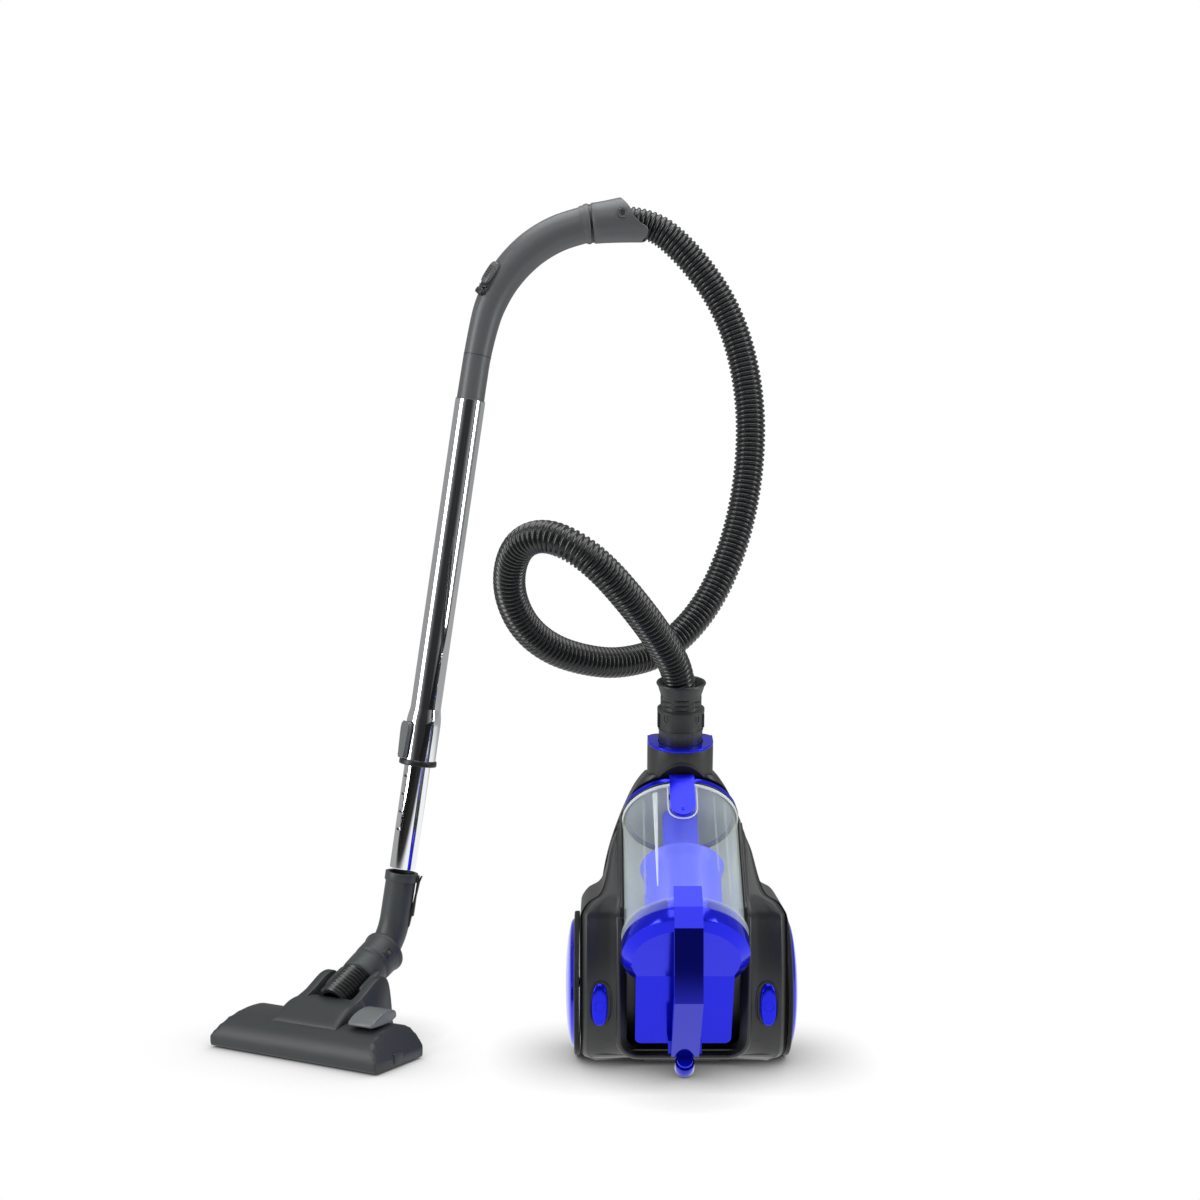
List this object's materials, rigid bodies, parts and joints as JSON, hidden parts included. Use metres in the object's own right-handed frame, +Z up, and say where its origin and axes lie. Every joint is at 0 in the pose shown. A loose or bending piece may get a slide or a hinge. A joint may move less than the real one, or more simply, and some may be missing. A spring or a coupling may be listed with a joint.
{
  "type": "canister vacuum cleaner",
  "caption": "Bagless canister vacuum cleaner parked upright, with clear dust cup, hose, telescopic wand and floor head.",
  "frame": {"origin": "on the floor under the wheel axle, in the canister's mirror plane, on its flat rear end", "axes": "+Z up, +X across the canister, -Y towards the side that is on top in use"},
  "size_m": [0.7415, 0.385, 1.109],
  "materials": {
    "charcoal": "satin moulded charcoal",
    "black_plastic": "black moulded",
    "blue_gloss": "polished blue",
    "clear_tint": "clear, faint grey-green tint",
    "inner_grey": "moulded light grey",
    "seal_rubber": "soft black",
    "tyre_rubber": "moulded dark grey",
    "steel": "plain steel",
    "chrome_tube": "polished chrome",
    "hose_skin": "ribbed flexible plastic",
    "felt": "filter felt",
    "bristle": "short bristles",
    "board_green": "circuit board"
  },
  "bodies": {
    "canister": {"top_shell": "charcoal", "base_shell": "charcoal", "cradle": "black_plastic", "port_collar": "blue_gloss", "inlet_duct": "black_plastic", "intake_seal": "seal_rubber", "motor_can": "black_plastic", "motor": "steel", "motor_mount": "seal_rubber", "control_board": "board_green", "exhaust_filter": "felt", "exhaust_grille": "charcoal", "cord_outlet": "black_plastic", "button_wells": "black_plastic", "stub_axles": "steel", "power_spring": "steel", "cord_spring": "steel", "hose": "hose_skin", "hose_end_collar": "charcoal"},
    "fan": {"fan": "black_plastic"},
    "reel": {"cord_reel": "black_plastic"},
    "power_key": {"power_button": "blue_gloss"},
    "cord_key": {"cord_button": "blue_gloss"},
    "right_wheel": {"right_tyre": "tyre_rubber", "right_hub": "blue_gloss"},
    "left_wheel": {"left_tyre": "tyre_rubber", "left_hub": "blue_gloss"},
    "caster_fork": {"caster_yoke": "black_plastic"},
    "caster_wheel_body": {"caster_wheel": "tyre_rubber"},
    "dust_cup": {"clear_cup": "clear_tint", "bin_cap": "blue_gloss", "foam_filter": "felt", "carry_handle": "blue_gloss", "release_spring": "steel", "cup_gasket": "seal_rubber", "cup_ring": "blue_gloss", "bin_lid": "inner_grey", "cyclone_column": "inner_grey", "cyclone_bell": "blue_gloss", "swirl_vanes": "inner_grey"},
    "release_key": {"release_button": "blue_gloss"},
    "latch": {"lid_latch": "blue_gloss"},
    "cuff": {"hose_cuff": "charcoal"},
    "right_tab": {"right_cuff_tab": "charcoal"},
    "left_tab": {"left_cuff_tab": "charcoal"},
    "wand_upper": {"grip": "charcoal", "upper_tube": "chrome_tube", "lock_ring": "black_plastic"},
    "relief": {"suction_slider": "black_plastic"},
    "lock_key": {"lock_slider": "inner_grey"},
    "wand_lower": {"lower_tube": "chrome_tube", "elbow": "charcoal"},
    "neck": {"neck_collar": "charcoal", "bellows": "seal_rubber"},
    "head": {"head_cover": "charcoal", "sole_plate": "black_plastic"},
    "pedal_body": {"pedal": "inner_grey"},
    "brushes": {"brush_strips": "bristle"},
    "left_roll": {"left_roller": "tyre_rubber"},
    "right_roll": {"right_roller": "tyre_rubber"}
  },
  "joints": [
    {"name": "fan_spin", "type": "hinge", "parent": "canister", "child": "fan", "pos_m": [0, 0.012, 0.062], "axis": [1, 0, 0], "continuous": true},
    {"name": "reel_spin", "type": "hinge", "parent": "canister", "child": "reel", "pos_m": [-0.077, 0.01, 0.075], "axis": [1, 0, 0], "continuous": true},
    {"name": "power_press", "type": "slide", "parent": "canister", "child": "power_key", "axis": [0, 1, 0], "range_m": [0, 0.003], "stiffness_N_per_m": 800, "springref_m": -0.001, "deforming": ["power_spring"]},
    {"name": "cord_press", "type": "slide", "parent": "canister", "child": "cord_key", "axis": [0, 1, 0], "range_m": [0, 0.003], "stiffness_N_per_m": 800, "springref_m": -0.001, "deforming": ["cord_spring"]},
    {"name": "right_wheel_spin", "type": "hinge", "parent": "canister", "child": "right_wheel", "pos_m": [0.1305, 0, 0.0893], "axis": [1, 0, 0], "continuous": true},
    {"name": "left_wheel_spin", "type": "hinge", "parent": "canister", "child": "left_wheel", "pos_m": [-0.1305, 0, 0.0893], "axis": [1, 0, 0], "continuous": true},
    {"name": "caster_swivel", "type": "hinge", "parent": "canister", "child": "caster_fork", "pos_m": [0, 0.045, 0.322], "axis": [0, 1, 0], "continuous": true},
    {"name": "caster_roll", "type": "hinge", "parent": "caster_fork", "child": "caster_wheel_body", "pos_m": [0, 0.0745, 0.31], "axis": [1, 0, 0], "continuous": true},
    {"name": "cup_lift", "type": "slide", "parent": "canister", "child": "dust_cup", "axis": [0, -1, 0], "range_m": [0, 0.12]},
    {"name": "release_press", "type": "slide", "parent": "dust_cup", "child": "release_key", "axis": [0, 0.6947, -0.7193], "range_m": [0, 0.003], "stiffness_N_per_m": 800, "springref_m": -0.001, "deforming": ["release_spring"]},
    {"name": "latch_slide", "type": "slide", "parent": "dust_cup", "child": "latch", "axis": [0, -0.7193, -0.6947], "range_m": [0, 0.004], "stiffness_N_per_m": 800, "springref_m": -0.001},
    {"name": "cuff_swivel", "type": "hinge", "parent": "canister", "child": "cuff", "pos_m": [0, -0.005, 0.391], "axis": [0, -0.2419, 0.9703], "continuous": true},
    {"name": "right_tab_press", "type": "slide", "parent": "cuff", "child": "right_tab", "axis": [-1, 0, 0], "range_m": [0, 0.0015], "stiffness_N_per_m": 400, "springref_m": -0.0005},
    {"name": "left_tab_press", "type": "slide", "parent": "cuff", "child": "left_tab", "axis": [1, 0, 0], "range_m": [0, 0.0015], "stiffness_N_per_m": 400, "springref_m": -0.0005},
    {"name": "grip_swivel", "type": "hinge", "parent": "canister", "child": "wand_upper", "pos_m": [-0.11198, 0.139, 1.07507], "axis": [0.9945, 0, 0.1045], "continuous": true},
    {"name": "relief_slide", "type": "slide", "parent": "wand_upper", "child": "relief", "axis": [0.5225, 0, 0.8526], "range_m": [0, 0.012]},
    {"name": "lock_slide", "type": "slide", "parent": "wand_upper", "child": "lock_key", "axis": [0.1435, 0, 0.9897], "range_m": [0, 0.005], "stiffness_N_per_m": 800, "springref_m": -0.001},
    {"name": "tele_slide", "type": "slide", "parent": "wand_upper", "child": "wand_lower", "axis": [0.1435, 0, 0.9897], "range_m": [-0.24, 0.14]},
    {"name": "elbow_swivel", "type": "hinge", "parent": "wand_lower", "child": "neck", "pos_m": [-0.40386, 0.09932, 0.08834], "axis": [0.4568, 0.7912, 0.4067], "range_deg": [-80, 80]},
    {"name": "neck_tilt", "type": "hinge", "parent": "neck", "child": "head", "pos_m": [-0.4267, 0.05976, 0.068], "axis": [0.866, -0.5, 0], "range_deg": [-50, 12]},
    {"name": "pedal_rock", "type": "hinge", "parent": "head", "child": "pedal_body", "pos_m": [-0.38915, -0.0312, 0.052], "axis": [0.866, -0.5, 0], "range_deg": [0, 8]},
    {"name": "brush_drop", "type": "slide", "parent": "head", "child": "brushes", "axis": [0, 0, -1], "range_m": [0, 0.003]},
    {"name": "left_roller_spin", "type": "hinge", "parent": "head", "child": "left_roll", "pos_m": [-0.53195, 0.08646, 0.0065], "axis": [0.866, -0.5, 0], "continuous": true},
    {"name": "right_roller_spin", "type": "hinge", "parent": "head", "child": "right_roll", "pos_m": [-0.35095, -0.01804, 0.0065], "axis": [0.866, -0.5, 0], "continuous": true}
  ],
  "couplings": [
    {"joint": "brush_drop", "follows": "pedal_rock", "m_per_rad": 0.0215}
  ]
}
